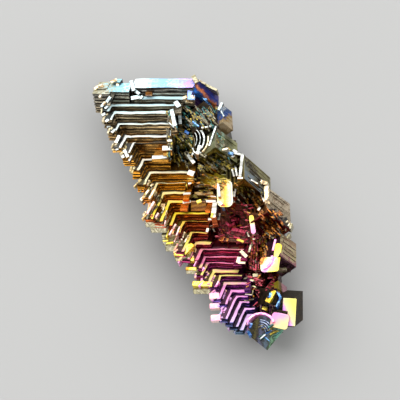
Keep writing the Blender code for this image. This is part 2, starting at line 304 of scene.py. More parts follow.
duskFilm = makeTone("duskFilm", (
    (0.00, "0c0804"), (0.22, "4c4024"), (0.40, "8c8468"), (0.50, "2c2414"), (0.62, "74705c"),
    (0.80, "a09884"), (1.00, "3c3418"),
), grain=(1.0, 1.2, 0.25), metallic=0.75, rough=0.22, bump=0.0004, coat=0.0)
# painted shade: near-black on the side crystals that lie in shade
blackShadeFilm = makeTone("blackShadeFilm", (
    (0.0, "040302"), (0.4, "14100c"), (0.6, "3c3020"), (1.0, "0c0808"),
), chainGrain, metallic=0.1, rough=0.35, coat=0.0, gloss=0.1)
# a plum tint darkened nearly to black by painted shade, on the body of one side crystal
plumAndShadeFilm = makeTone("plumAndShadeFilm", (
    (0.0, "10060c"), (0.4, "2c0c1c"), (0.6, "684050"), (0.75, "240c14"), (1.0, "504428"),
), chainGrain, metallic=0.5, rough=0.2, coat=0.0)
shadows = {  # tones of the thin edges in the hollows
    "teal": ((0.0, "081414"), (0.4, "1c443c"), (0.6, "3c7c68"), (0.8, "284c78"), (1.0, "101c2c")),
    "olive": ((0.0, "100c04"), (0.4, "5c4c14"), (0.6, "c0a840"), (0.8, "74682c"), (1.0, "201808")),
    "stone": ((0.0, "141008"), (0.4, "4c4434"), (0.6, "8c8468"), (1.0, "2c2414")),
    "rust": ((0.0, "1c0c00"), (0.4, "743808"), (0.6, "d48c28"), (1.0, "301404")),
    "wine": ((0.0, "14040c"), (0.4, "701824"), (0.6, "bc3c4c"), (1.0, "2c0814")),
}
shadowFilms = [
    makeTone(name + "Film", stops, chainGrain, metallic=0.8, rough=0.15)
    for name, stops in shadows.items()
]

acrossSizes = {"cloud": 1.1, "bend": 0.8, "grain": 5.0, "roughSpread": 0.25, "strength": 0.6}


def makeAcross(name, start, end, stops, metallic=0.05, rough=0.12, drift=0.35, coat=0.5,
               bump=0.00005):  # a film with colours from one growth x and y to another
    n = Nodes(name)
    growth = n.ownAxes(lyingFrame)
    cloud = n.noise(growth, acrossSizes["cloud"], detail=3.0, bend=acrossSizes["bend"])
    grain = n.noise(growth, acrossSizes["grain"], detail=4.0)
    along = n.sway(n.across(growth, start, end), cloud, drift)
    along = n.sway(along, grain, drift / 2)
    fixed = {"Metallic": metallic, "Coat Weight": coat, "Coat Roughness": coatRough}
    return n.finish(n.ramp(along, stops), grain, rough, acrossSizes["roughSpread"], grain, bump,
                    acrossSizes["strength"], fixed)


print("films", len(bpy.data.materials))


def selectOnly(piece):
    bpy.ops.object.select_all(action="DESELECT")
    piece.select_set(True)
    bpy.context.view_layer.objects.active = piece


def startPiece(name):  # an empty piece in edit mode, in its crystal's own axes
    piece = bpy.data.objects.new(name, bpy.data.meshes.new(name))
    bpy.context.scene.collection.objects.link(piece)
    selectOnly(piece)
    bpy.ops.object.mode_set(mode="EDIT")
    bpy.ops.mesh.select_mode(type="FACE")
    return piece


def addBlock(low, high):
    low, high = Vector(low) * mm, Vector(high) * mm
    bpy.ops.mesh.select_all(action="DESELECT")
    bpy.ops.mesh.primitive_cube_add(size=1, location=(low + high) / 2, scale=high - low)


floorGap = 0.06   # how far over the floor hidden walls end


def cutAtFloor(place):  # trims the block just added, before it is laid in place
    own = place.inverted()
    spot, way = own @ Vector((0, 0, floorGap * mm)), own.to_3x3() @ Vector((0, 0, 1))
    bpy.ops.mesh.bisect(plane_co=spot, plane_no=way, use_fill=True, clear_inner=True)


def selectFaces(test):  # of what is selected, keep the faces that pass
    work = bmesh.from_edit_mesh(bpy.context.edit_object.data)
    work.normal_update()
    for face in [face for face in work.faces if face.select]:
        face.select_set(test(face))
    work.select_flush_mode()
    bmesh.update_edit_mesh(bpy.context.edit_object.data)


def pullFace(way, move, test=lambda face: True):
    way = Vector(way)
    selectFaces(lambda face: face.normal.dot(way) > squareOn and test(face))
    shift = Vector(move) * mm
    bpy.ops.mesh.extrude_region_move(TRANSFORM_OT_translate={"value": shift})
    bpy.ops.mesh.select_linked()


def bevelUprights(width, segments, test=lambda spot: True):  # the test sees their x and y
    work = bmesh.from_edit_mesh(bpy.context.edit_object.data)
    bpy.ops.mesh.select_all(action="DESELECT")
    for edge in work.edges:
        upper, lower = [vertex.co for vertex in edge.verts]
        if abs(upper.z - lower.z) > hair * mm and test(upper.xy) and test(lower.xy):
            edge.select_set(True)
    bmesh.update_edit_mesh(bpy.context.edit_object.data)
    bpy.ops.mesh.bevel(offset=width * mm, segments=segments, affect="EDGES")


waver = {"amount": 0.16, "scale": 1.7, "cuts": 0.9, "reach": 27}   # how far and finely growth lines wander


def wander(piece):  # lets the layers wander a little, as grown ones do
    bpy.ops.object.mode_set(mode="EDIT")
    steps = int(waver["reach"] / waver["cuts"])
    for way in ((1, 0, 0), (0, 1, 0)):
        for step in range(-steps, steps):
            bpy.ops.mesh.select_all(action="SELECT")
            spot = Vector(way) * (step + 0.5) * waver["cuts"] * mm
            bpy.ops.mesh.bisect(plane_co=spot, plane_no=way)
    bpy.ops.object.mode_set(mode="OBJECT")
    clouds = bpy.data.textures.get("growthClouds") or bpy.data.textures.new("growthClouds", "CLOUDS")
    clouds.cloud_type, clouds.noise_scale = "COLOR", waver["scale"] * mm
    drift = piece.modifiers.new("drift", "DISPLACE")
    drift.texture, drift.texture_coords, drift.direction = clouds, "LOCAL", "RGB_TO_XYZ"
    drift.strength = waver["amount"] * 2 * mm
    bpy.ops.object.modifier_apply(modifier=drift.name)


pieces = []


# rounds a piece's edges, lays it in place and ends it at the floor, unless it is trimmed already
def finishPiece(piece, place, edge, *finishes, wandering=False, trimmed=False):
    bpy.ops.object.mode_set(mode="OBJECT")
    selectOnly(piece)
    rounding = piece.modifiers.new("rounding", "BEVEL")
    rounding.width = edge * mm
    rounding.segments = 2
    rounding.limit_method = "ANGLE"
    bpy.ops.object.modifier_apply(modifier=rounding.name)
    if wandering:
        wander(piece)
    piece.matrix_world = place
    bpy.ops.object.transform_apply()
    if not trimmed:
        bpy.ops.object.mode_set(mode="EDIT")
        bpy.ops.mesh.select_all(action="SELECT")
        bpy.ops.mesh.bisect(plane_co=(0, 0, 0), plane_no=(0, 0, 1), use_fill=True, clear_inner=True)
        bpy.ops.object.mode_set(mode="OBJECT")
    for finish in finishes:
        piece.data.materials.append(finish)
    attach(piece, "root")
    pieces.append(piece)
    print(piece.name, len(piece.data.polygons), "faces")


chance = random.Random(5)


def about(spread):
    return chance.uniform(-spread, spread)


ledges = {
    # a row a ledge from the top: drop to the next, tread, step right, run right, reach of the left leg
    "rows": (
        (0.6, 0.8, 1.1, 10.6, 1.2), (1.3, 1.2, 0.7, 9.2, 1.4), (1.5, 0.8, 0.7, 8.3, 1.6),
        (0.7, 0.8, 1.0, 7.2, 2.8), (2.3, 0.6, 1.2, 6.2, 2.3), (1.5, 1.0, 1.3, 5.2, 2.2),
        (1.3, 1.0, 0.9, 6.6, 2.6), (1.2, 0.5, 1.1, 5.1, 3.2), (0.8, 0.8, 0.9, 3.9, 6.0),
        (1.3, 1.2, 1.1, 2.8, 4.4), (1.0, 0.8, 0.9, 5.6, 2.6), (1.5, 0.5, 1.1, 4.7, 2.4),
        (1.1, 0.6, 1.0, 3.3, 4.4), (0.6, 1.0, 0.8, 2.9, 3.8), (0.9, 0.6, 0.9, 6.9, 2.4),
        (0.7, 0.5, 0.5, 5.4, 2.6), (0.8, 0.5, 0.3, 4.8, 2.8), (0.3, 1.0, 1.1, 4.5, 3.0),
        (0.8, 0.6, 1.1, 4.1, 2.4), (0.7, 0.8, 0.8, 3.7, 3.5), (0.5, 0.8, 0.9, 3.6, 3.0),
        (0.6, 0.6, 0.8, 2.4, 5.4), (0.7, 0.5, 0.7, 1.8, 4.8), (0.6, 0.6, 0.6, 1.9, 4.2),
        (0.8, 0.6, 0.6, 1.6, 3.6),
    ),
    "wing": 1.25,          # width of the left legs
    "lipWing": 0.32,       # width of the bright lip along them
    "lipShare": 0.72,      # how much of a tread the lip covers
    "layer": 0.42,         # height of one growth layer with the groove over it
    "groove": 0.45,        # share of that height which the groove has
    "sunk": 0.16,          # how deep the grooves are
    "lean": 0.22,          # how far a riser's foot stands out past its top, for each millimetre of height
    "sideLean": 0.40,      # the same for the inner side of the left legs
    "lip": 0.14,           # thickness of the lip
    "overhang": 0.05,      # how far it overhangs the first groove
    "lipEdge": 0.045,      # rounding of the lip
    "depth": 1.1,          # how far the layers run in behind the front
    "corner": 0.22,        # rounding of the inner corner
    "rough": 0.035,        # unevenness of the layers
    "uneven": 0.3,         # unevenness of their heights, as a share of one
    "ragged": 0.08,        # unevenness of their ends
    "legRagged": 0.10,     # unevenness of their legs' ends
    "taper": 0.25,         # how much shorter the lowest layer of a riser is
    "lap": 0.02,           # how far a groove reaches into the layers over and under it
    "edge": 0.03,
}


def ledgePlaces():
    x, y, z = 0.0, 0.0, 0.0
    for rise, tread, shift, reach, leg in ledges["rows"]:
        yield x + shift, y - tread, z, z - rise, x + reach, leg
        x, y, z = x + shift, y - tread, z - rise


# an L: a run to the right and a leg forward
def addLayer(left, inner, right, front, back, legEnd, low, high):
    addBlock((left, front, low), (inner, back, high))
    pullFace((1, 0, 0), (right - inner, 0, 0))
    middle = inner * mm
    pullFace((0, -1, 0), (0, legEnd - front, 0), lambda face: face.calc_center_median().x < middle)
    corner = Vector((inner, front)) * mm
    bevelUprights(ledges["corner"], 3, lambda spot: (spot - corner).length < hair * mm)


def unevenness(layer, top):  # from -1 to 1, and the same each time
    return sin(7 * layer + 3 * top)


def layerPlan(kind, top, bottom):  # low and high side of the lip, the layers or the grooves of a riser
    lip = ledges["lip"]
    if kind == "lip":
        yield top - lip, top, 0.0
        return
    count = max(1, round((top - bottom - lip) / ledges["layer"]))
    pitch = (top - bottom - lip) / count
    levels = [top - lip]
    for layer in range(1, count):
        levels.append(top - lip - pitch * (layer + ledges["uneven"] * unevenness(layer, top)))
    levels.append(bottom)
    for layer in range(count):
        layerTop, foot = levels[layer], levels[layer + 1]
        grooveFoot = layerTop - (layerTop - foot) * ledges["groove"]
        if kind == "layer":
            yield foot, grooveFoot, layer / count
        else:
            yield grooveFoot - ledges["lap"], layerTop + ledges["lap"], layer / count


def addLayers(kind):  # one kind of layer on every ledge
    rough, ragged = ledges["rough"], ledges["ragged"]
    isLip = kind == "lip"
    sunk = ledges["sunk"] if kind == "groove" else 0.0
    lip = ledges["overhang"] if isLip else 0.0
    wing = ledges["lipWing"] if isLip else ledges["wing"]
    for row, (inner, front, top, bottom, right, leg) in zip(ledges["rows"], ledgePlaces()):
        back = front + (ledges["lipShare"] * row[1] if isLip else ledges["depth"])
        left, end = inner - wing, front - leg
        lean, sideLean = ledges["lean"] * (top - bottom), ledges["sideLean"] * (top - bottom)
        for low, high, share in layerPlan(kind, top, bottom):
            out = lean * (1 - share) + sunk - lip
            leftNow = left + sunk + about(ragged)
            innerNow = inner - sunk + sideLean * share + lip + about(rough)
            rightNow = right - ledges["taper"] * share - sunk + about(ragged)
            frontNow = front + out + about(rough)
            endNow = end + sunk + about(ledges["legRagged"])
            addLayer(leftNow, innerNow, rightNow, frontNow, back, endNow, low, high)


lipPiece = startPiece("hopper_lips")
addLayers("lip")
finishPiece(lipPiece, hopperFrame, ledges["lipEdge"], hopperFilm, wandering=True)
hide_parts("bismuth_crystal")
layerPiece = startPiece("hopper_layers")
addLayers("layer")
finishPiece(layerPiece, hopperFrame, ledges["edge"], layerFilmAndShade, wandering=True)
recess = {  # blocks of painted shade in the recesses under the lips: how far they keep from the sides of a leg and of a run
    "left": 0.1, "end": 0.15, "inner": 0.2, "runLeft": 0.6, "right": 0.1,
    "back": 0.3, "runBack": 1.0, "legDrop": 0.08, "runDrop": 0.07, "foot": 0.3,
}
groovePiece = startPiece("hopper_grooves")
addLayers("groove")
# painted shade: a dark block under each lip, on the leg and on the run
for inner, front, top, bottom, right, leg in ledgePlaces():
    left, back, foot = inner - ledges["wing"] + recess["left"], front + recess["back"], top - recess["foot"]
    addBlock((left, front - leg + recess["end"], foot),
             (inner - recess["inner"], back, top - recess["legDrop"]))
    addBlock((inner - recess["runLeft"], back, foot),
             (right - recess["right"], front + recess["runBack"], top - recess["runDrop"]))
finishPiece(groovePiece, hopperFrame, ledges["edge"], grooveShadeFilm, wandering=True)

walls = {  # behind the ledges, down to the floor
    "back": 0.45, "side": 0.15, "drop": 0.08, "overlap": 1.2,
    "deep": (5.2, 1.3, 8.8),           # first depth, gain a ledge, most
    "flank": (13.6, 0.85, 25.0),       # first right end, gain a ledge, most
    "flankNear": 1.85, "flankFar": 4.25, "flankDeep": 6.4,   # behind the front of their ledge
    "flankLap": 1.0, "nearDrop": 0.32, "farDrop": 0.52,
    "edge": 0.05,
}


def grown(size, number):  # a size that gains with each ledge until it is at its most
    first, gain, most = walls[size]
    return min(first + gain * number, most)


wallPiece = startPiece("hopper_walls")
flankBlocks = []
for number, (inner, front, top, bottom, right, leg) in enumerate(ledgePlaces()):
    left, lap = inner - ledges["wing"] + walls["side"], walls["flankLap"]
    rear = front + grown("deep", number)
    foot = bottom - walls["overlap"]
    addBlock((left, front + walls["back"], foot), (right - walls["side"], rear, top - walls["drop"]))
    cutAtFloor(hopperFrame)
    flank = grown("flank", number)
    middle = (right + flank) / 2
    near, far = front + walls["flankNear"], front + walls["flankFar"]
    flankBlocks.append(((right - lap, near, bottom - lap), (middle, rear, top - walls["nearDrop"])))
    flankBlocks.append(((middle - lap, far, bottom - lap),
                        (flank, front + walls["flankDeep"], top - walls["farDrop"])))
finishPiece(wallPiece, hopperFrame, walls["edge"], wallShadeFilm, trimmed=True)
flankPiece = startPiece("set_back_walls")
for low, high in flankBlocks:
    addBlock(low, high)
    cutAtFloor(hopperFrame)
finishPiece(flankPiece, hopperFrame, walls["edge"], hollowShadeFilm, trimmed=True)

cap = {  # the blocks at the top end, each with its low and its high corner
    "blocks": (
        ((-1.3, 0.9, 0.4), (0.4, 2.6, 1.95)),
        ((1.0, 2.0, 0.0), (2.1, 3.0, 2.3)),
    ),
    "layered": (
        ((-1.6, -0.3, -1.4), (1.0, 2.3, 1.7)),
        ((4.0, 0.7, 0.5), (13.1, 3.4, 2.0)),
        ((0.2, -0.1, -0.6), (3.8, 2.6, 1.84)),
    ),
    "second": (((4.3, -0.1, -0.6), (11.8, 2.0, 0.62)),),
    "lean": 0.30, "lip": 0.1, "rough": 0.03, "ragged": 0.05, "taper": 0.3, "edge": 0.06,
}


def addBand(kind, blocks):
    sunk = ledges["sunk"] if kind == "groove" else 0.0
    lip = cap["lip"] if kind == "lip" else 0.0
    for low, high in blocks:
        for foot, top, share in layerPlan(kind, high[2], low[2]):
            front = low[1] + cap["lean"] * (1 - share) + sunk - lip + about(cap["rough"])
            left = low[0] + sunk + about(cap["ragged"])
            addBlock((left, front, foot), (high[0] - sunk - cap["taper"] * share, high[1], top))


capPiece = startPiece("top_band")
for low, high in cap["blocks"]:
    addBlock(low, high)
addBand("lip", cap["layered"])
finishPiece(capPiece, hopperFrame, cap["edge"], bandFilm, wandering=True)
bothBands = cap["layered"] + cap["second"]
for name, kind, blocks, finish in (
    ("top_band_grooves", "groove", bothBands, grooveShadeFilm),
    ("band_layers", "layer", bothBands, layerFilmAndShade),
    ("second_band", "lip", cap["second"], hopperFilm),
):
    piece = startPiece(name)
    addBand(kind, blocks)
    finishPiece(piece, hopperFrame, ledges["edge"], finish, wandering=True)

arms = {  # plates that stand out from the ends of the ledges
    # number of the ledge, left and right side from its end, drop, reach, turn
    "rows": (
        (0, -9.6, -9.0, -1.3, 1.2, 0), (0, -0.1, 1.0, 0.1, 1.5, 10), (1, -0.5, 0.4, 0.2, 4.4, 20),
        (3, -0.2, 0.6, 0.1, 1.6, 14), (4, -0.6, 0.8, 0.5, 1.5, 6), (4, -2.2, 0.3, 1.35, 2.0, 3),
        (6, 0.0, 0.9, 0.1, 1.5, 8), (8, -0.1, 0.9, 0.1, 1.0, 5), (9, -0.1, 1.1, 0.1, 1.2, 4),
        (10, -0.3, 1.1, -1.0, 0.4, 0), (10, 0.4, 1.2, -1.05, 4.2, 20), (14, -0.4, 0.6, 0.5, 1.3, 10),
        (15, -0.7, 0.6, 0.2, 1.6, 6), (19, -0.2, 0.7, 0.1, 1.1, 12),
    ),
    "thick": 0.5, "root": 3.2, "edge": 0.09,
}
places = list(ledgePlaces())
for ledge, left, right, drop, reach, turn in arms["rows"]:
    inner, front, top, bottom, end, leg = places[ledge]
    arm = startPiece("ledge_plate")
    addBlock((left - right, -reach, -arms["thick"]), (0, arms["root"], 0))
    corner = Matrix.Translation(Vector((end + right, front, top - drop)) * mm)
    place = hopperFrame @ corner @ Matrix.Rotation(radians(turn), 4, "Z")
    finishPiece(arm, place, arms["edge"], layerFilmAndShade)

inGrowth = lyingFrame.inverted() @ hopperFrame
gleam = (-24, -10)   # the tilt at which a plate mirrors the high softbox
gleamTurn = Euler((radians(gleam[0]), radians(gleam[1]), 0)).to_matrix().to_4x4()


def addPlate(x, y, z, length, width, turn, thick):
    attitude = (gleamTurn @ Matrix.Rotation(radians(turn), 4, "Z")).to_euler()
    bpy.ops.mesh.select_all(action="DESELECT")
    size = Vector((length, width, thick)) * mm
    bpy.ops.mesh.primitive_cube_add(size=1, location=Vector((x, y, z)) * mm, rotation=attitude, scale=size)


hooks = {  # small plates along the left legs
    "spacing": 0.42, "long": (0.5, 1.1), "wide": (0.14, 0.32), "turn": (40, 88),
    "past": 0.3, "across": (-0.15, 0.45), "along": (0, 0.6), "down": (0.0, 0.35),
    "thick": 0.9, "lift": 0.02, "edge": 0.04,
}
hookFilm = makeAcross("hookFilm", (0, 17.5), (0, -20.0), (
    (0.00, "dcd0b0"), (0.12, "a49470"), (0.20, "ece0b8"), (0.26, "84704c"), (0.33, "e8d498"),
    (0.40, "a48848"), (0.46, "ecd088"), (0.52, "d89878"), (0.58, "ecc860"), (0.64, "d88098"),
    (0.70, "f0d860"), (0.78, "e088b8"), (0.86, "d890d0"), (1.00, "8c98b0")), drift=0.5, coat=0.0)
hookPiece = startPiece("leg_hooks")
for inner, front, top, bottom, right, leg in ledgePlaces():
    for number in range(round((leg + hooks["past"]) / hooks["spacing"])):
        across = inner - ledges["wing"] + chance.uniform(*hooks["across"])
        along = front - leg + (number + chance.uniform(*hooks["along"])) * hooks["spacing"]
        spot = inGrowth @ (Vector((across, along, top - chance.uniform(*hooks["down"]))) * mm) / mm
        long, wide = chance.uniform(*hooks["long"]), chance.uniform(*hooks["wide"])
        level = spot.z + hooks["lift"] - hooks["thick"] / 2
        addPlate(spot.x, spot.y, level, long, wide, chance.uniform(*hooks["turn"]), hooks["thick"])
finishPiece(hookPiece, lyingFrame, hooks["edge"], hookFilm)

chain = {  # the side crystals
    # corner of the front rim, size, attitude, steps of the front and the under pit
    "rows": (
        ((-0.3, 17.0, 3.0), (2.6, 2.4, 4.2), outward, 0, 2),
        ((0.5, 13.9, 4.2), (2.7, 4.4, 3.0), (-53, -28, 36), 0, 0),
        ((3.0, 13.6, 2.6), (3.2, 3.8, 2.3), (-52, -26, 33), 0, 0),
        ((2.2, 10.2, 6.2), (3.4, 4.1, 4.3), (-57, -30, 36), 0, 3),
        ((6.2, 6.3, 7.0), (3.4, 4.9, 5.7), (-55, -26, 32), 4, 4),
        ((4.7, 2.9, 6.8), (2.8, 3.7, 3.0), (2, -37, -2), 0, 0),
        ((9.2, 2.0, 7.2), (3.8, 5.2, 5.0), (-53, -28, 34), 4, 4),
        ((7.4, -0.6, 6.4), (4.6, 5.6, 4.6), (6, -6, -4), 5, 0),
        ((8.0, -1.8, 8.2), (1.3, 3.0, 2.6), (2, -37, -4), 0, 0),
        ((10.4, -3.4, 7.0), (3.0, 6.6, 4.4), (4, 8, -4), 3, 0),
        ((11.5, -6.0, 8.4), (2.2, 4.1, 2.6), (2, -37, -6), 0, 0),
        ((11.2, -4.5, 8.2), (2.8, 4.6, 3.2), outward, 0, 3),
        ((10.9, -11.2, 7.5), (2.2, 1.6, 1.9), (-52, -28, 33), 0, 0),
        ((13.1, -13.6, 11.6), (2.4, 4.2, 4.6), (12, -16, -3), 0, 0),
        ((12.2, -15.5, 11.2), (2.2, 2.3, 4.4), (10, -8, -9), 0, 0),
        ((10.8, -12.3, 10.6), (1.5, 2.3, 4.0), (0, 20, 0), 1, 0),
    ),
    "shadedBlack": (1, 13, 14, 15), "plain": (0, 2, 12), "plum": (11,),   # crystals with other films: near-black painted shade, the outer film all over, and a plum tint with painted shade
    "steps": ((0.26, 0.30), (0.14, 0.08)), "edge": 0.05,   # tread and rise of a step and of its groove
}


def sinkPit(way, steps):  # a stepped pit in the face that looks along a way
    way = Vector(way)
    bpy.ops.mesh.select_all(action="SELECT")
    work = bmesh.from_edit_mesh(bpy.context.edit_object.data)
    outermost = max(vertex.co.dot(way) for vertex in work.verts)
    selectFaces(lambda face: face.calc_center_median().dot(way) > outermost - hair * mm)
    for step in range(steps):
        for tread, rise in chain["steps"]:
            bpy.ops.mesh.inset(thickness=tread * mm, depth=0)
            shift = way * -rise * mm
            bpy.ops.mesh.extrude_region_move(TRANSFORM_OT_translate={"value": shift})


def shadeGrooves(piece, way):  # every second level of a pit that looks along a way is a groove, and takes the piece's second film, which paints shade on it
    pitch = sum(rise for tread, rise in chain["steps"]) * mm
    first = chain["steps"][0][1] * mm
    for face in piece.data.polygons:
        depth = -face.center.dot(way)
        level = depth % pitch
        if face.normal.dot(way) > squareOn and depth > first / 2 and abs(level - first) < 2 * hair * mm:
            face.material_index = 1


ridges = {  # on the outer faces of the steeply turned crystals
    "spacing": 0.75, "turnedBelow": -40, "root": 0.4, "stop": 0.05,
    "start": (0.05, 0.3), "height": (0.35, 0.7),     # as shares of the spacing
    "near": (0.05, 0.35), "far": (0.55, 0.98),       # as shares of the crystal's depth
    "out": (0.03, 0.13),
}


def addRidges(size):
    spacing = ridges["spacing"]
    for ridge in range(round(size[1] / spacing)):
        low = -size[1] + (ridge + chance.uniform(*ridges["start"])) * spacing
        high = low + chance.uniform(*ridges["height"]) * spacing
        near, far = chance.uniform(*ridges["near"]) * size[2], chance.uniform(*ridges["far"]) * size[2]
        out = chance.uniform(*ridges["out"])
        addBlock((-ridges["root"], low, -far), (out, min(high, -ridges["stop"]), -near))


outerFaces = {  # crystal: start and end of the colours of its outer face, their drift, and their stops
    0: ((-0.3, 13.4), (2.4, 15.7), 0.35, (
        (0.0, "50305c"), (0.18, "182858"), (0.27, "2c74d0"), (0.36, "143468"), (0.45, "c06c28"),
        (0.53, "2c2054"), (0.68, "1c307c"), (0.8, "4c3468"), (0.9, "b09c70"), (1.0, "8c7c5c"))),
    2: ((2.6, 13.2), (4.3, 9.8), 0.7, (
        (0.0, "d0c0a0"), (0.14, "8c98a4"), (0.24, "183460"), (0.44, "284c8c"), (0.54, "8c6c28"),
        (0.66, "9c8c70"), (0.84, "a08c6c"), (1.0, "6c5838"))),
    3: ((1.9, 8.4), (4.8, 8.0), 0.7, (
        (0.0, "7c745c"), (0.28, "4c442c"), (0.42, "84a08c"), (0.52, "5c583c"), (0.76, "383818"),
        (1.0, "84845c"))),
    4: ((6.4, 2.4), (9.2, 4.5), 0.5, (
        (0.0, "4c5458"), (0.28, "6c7880"), (0.4, "5c5c4c"), (0.46, "241808"), (0.56, "1c140c"),
        (0.62, "5c5438"), (0.74, "807c54"), (0.84, "504828"), (0.92, "8c8460"), (1.0, "5c5434"))),
    6: ((11.9, 1.3), (9.9, -1.9), 0.8, (
        (0.0, "b4a48c"), (0.12, "64563c"), (0.26, "b8ac94"), (0.4, "5c4c30"), (0.54, "b4a48c"),
        (0.68, "64563c"), (0.8, "a09078"), (0.9, "140c04"), (1.0, "0c0804"))),
    11: ((11.2, -8.6), (13.4, -5.6), 0.7, (
        (0.0, "3c1420"), (0.22, "8c5c60"), (0.38, "a49c70"), (0.5, "705040"), (0.64, "aca07c"),
        (0.82, "846850"), (1.0, "746844"))),
    12: ((10.8, -12.0), (12.5, -11.8), 0.3, (
        (0.0, "a09020"), (0.28, "5c4820"), (0.45, "b07c88"), (0.75, "947078"), (1.0, "504840"))),
}
outerFinish = {"metallic": 0.35, "rough": 0.25, "coat": 0.0, "bump": 0.00015}
for number, (corner, size, attitude, frontSteps, underSteps) in enumerate(chain["rows"]):
    sideCrystal = startPiece(f"side_crystal_{number + 1}")
    addBlock([-side for side in size], (0, 0, 0))
    bpy.ops.mesh.select_all(action="SELECT")
    if frontSteps:
        sinkPit((0, 0, 1), frontSteps)
    if underSteps:
        sinkPit((0, -1, 0), underSteps)
    bpy.ops.object.mode_set(mode="OBJECT")
    shadeGrooves(sideCrystal, Vector((0, 0, 1)))
    bpy.ops.object.mode_set(mode="EDIT")
    if attitude[0] < ridges["turnedBelow"]:
        addRidges(size)
    bpy.ops.object.mode_set(mode="OBJECT")
    for face in sideCrystal.data.polygons:
        if face.normal.x > squareOn and face.center.x > -hair * mm:
            face.material_index = 2
    outer = duskFilm
    if number in outerFaces:
        start, end, drift, stops = outerFaces[number]
        outer = makeAcross(f"outerFilm{number + 1}", start, end, stops, drift=drift, **outerFinish)
    finishes = (chainFilm, chainShade, outer)
    # near-black painted shade all over these
    if number in chain["shadedBlack"]:
        finishes = (blackShadeFilm, blackShadeFilm, blackShadeFilm)
    elif number in chain["plain"]:
        finishes = (outer, chainShade, outer)
    # a plum tint with painted shade on the body of this one
    elif number in chain["plum"]:
        finishes = (plumAndShadeFilm, chainShade, outer)
    finishPiece(sideCrystal, placed(corner, attitude), chain["edge"], *finishes)

tip = {  # the last crystal
    "centre": (9.2, -18.0, 7.6), "size": (4.0, 3.8, 4.6), "attitude": (8, 0, -39),
    "round": 1.5, "segments": 6, "steps": 3, "edge": 0.05,
    # corners and attitude of the two crystals that join it to the others
    "fills": (
        ((2.6, -19.0, 3.2), (6.4, -13.2, 7.0), (0, 0, 8)),
        ((8.4, -17.0, 4.4), (11.2, -12.8, 8.2), (0, 0, 0)),
    ),
}
tipPiece = startPiece("lower_tip")
addBlock([-side / 2 for side in tip["size"]], [side / 2 for side in tip["size"]])
bevelUprights(tip["round"], tip["segments"], lambda spot: spot.x < 0 < spot.y)
for way in ((0, -1, 0), (1, 0, 0)):
    sinkPit(way, tip["steps"])
tipFilm = makeAcross("tipFilm", (6.6, -17.6), (10.8, -18.4), (
    (0.00, "a490cc"), (0.07, "5c5430"), (0.18, "1c1804"), (0.30, "544c24"), (0.38, "28242c"),
    (0.50, "5c6078"), (0.60, "34342c"), (0.70, "586878"), (0.79, "34381c"), (0.87, "6c9474"),
    (0.93, "2c3820"), (1.00, "64947c"),
), metallic=0.3)
finishPiece(tipPiece, placed(tip["centre"], tip["attitude"]), tip["edge"], tipFilm)
for low, high, attitude in tip["fills"]:
    fill = startPiece("inner_fill")
    addBlock([least - most for least, most in zip(low, high)], (0, 0, 0))
    for way in ((0, 0, 1), (0, -1, 0)):
        sinkPit(way, tip["steps"])
    place = placed((0, 0, 0), attitude) @ Matrix.Translation(Vector(high) * mm)
    finishPiece(fill, place, chain["edge"], chainFilm)

sight = {"from": 40, "least": -9.0}   # growth z where sight lines begin, and what a line that misses gives


def surfaceAt(x, y):  # growth z where the sight line through a growth x and y first meets the crystals
    start = lyingFrame @ (Vector((x, y, sight["from"])) * mm)
    way = -wayOf(lyingFrame, (0, 0, 1))
    best = sight["least"]
    for piece in pieces:
        hit, spot, normal, face = piece.ray_cast(start, way)
        if hit:
            best = max(best, (lyingFrame.inverted() @ spot).z / mm)
    return best


toes = {  # short steps at the right of the lowest legs: growth x and y, height
    "rows": ((2.05, -13.5, 0.9), (2.1, -14.9, 0.8), (2.25, -16.5, 0.9)),
    "long": 1.4, "thick": 1.4, "sunk": 0.1, "attitude": (-14, -6, 4), "edge": 0.12,
}
toeFilm = makeAcross("toeFilm", (1.4, -13.0), (2.8, -17.0), (
    (0.0, "ff9cc8"), (0.2, "ffd8c4"), (0.4, "ffa8cc"), (0.6, "ffd4c0"), (0.8, "ffa4d4"), (1.0, "ffd8c4")))
toePiece = startPiece("lower_toes")
for x, y, height in toes["rows"]:
    bpy.ops.mesh.select_all(action="DESELECT")
    level = surfaceAt(x + toes["long"] / 2, y) - toes["sunk"] - toes["thick"] / 2
    place, size = Vector((x, y, level)) * mm, Vector((toes["long"], height, toes["thick"])) * mm
    turn = [radians(angle) for angle in toes["attitude"]]
    bpy.ops.mesh.primitive_cube_add(size=1, location=place, scale=size, rotation=turn)
finishPiece(toePiece, lyingFrame, toes["edge"], toeFilm)

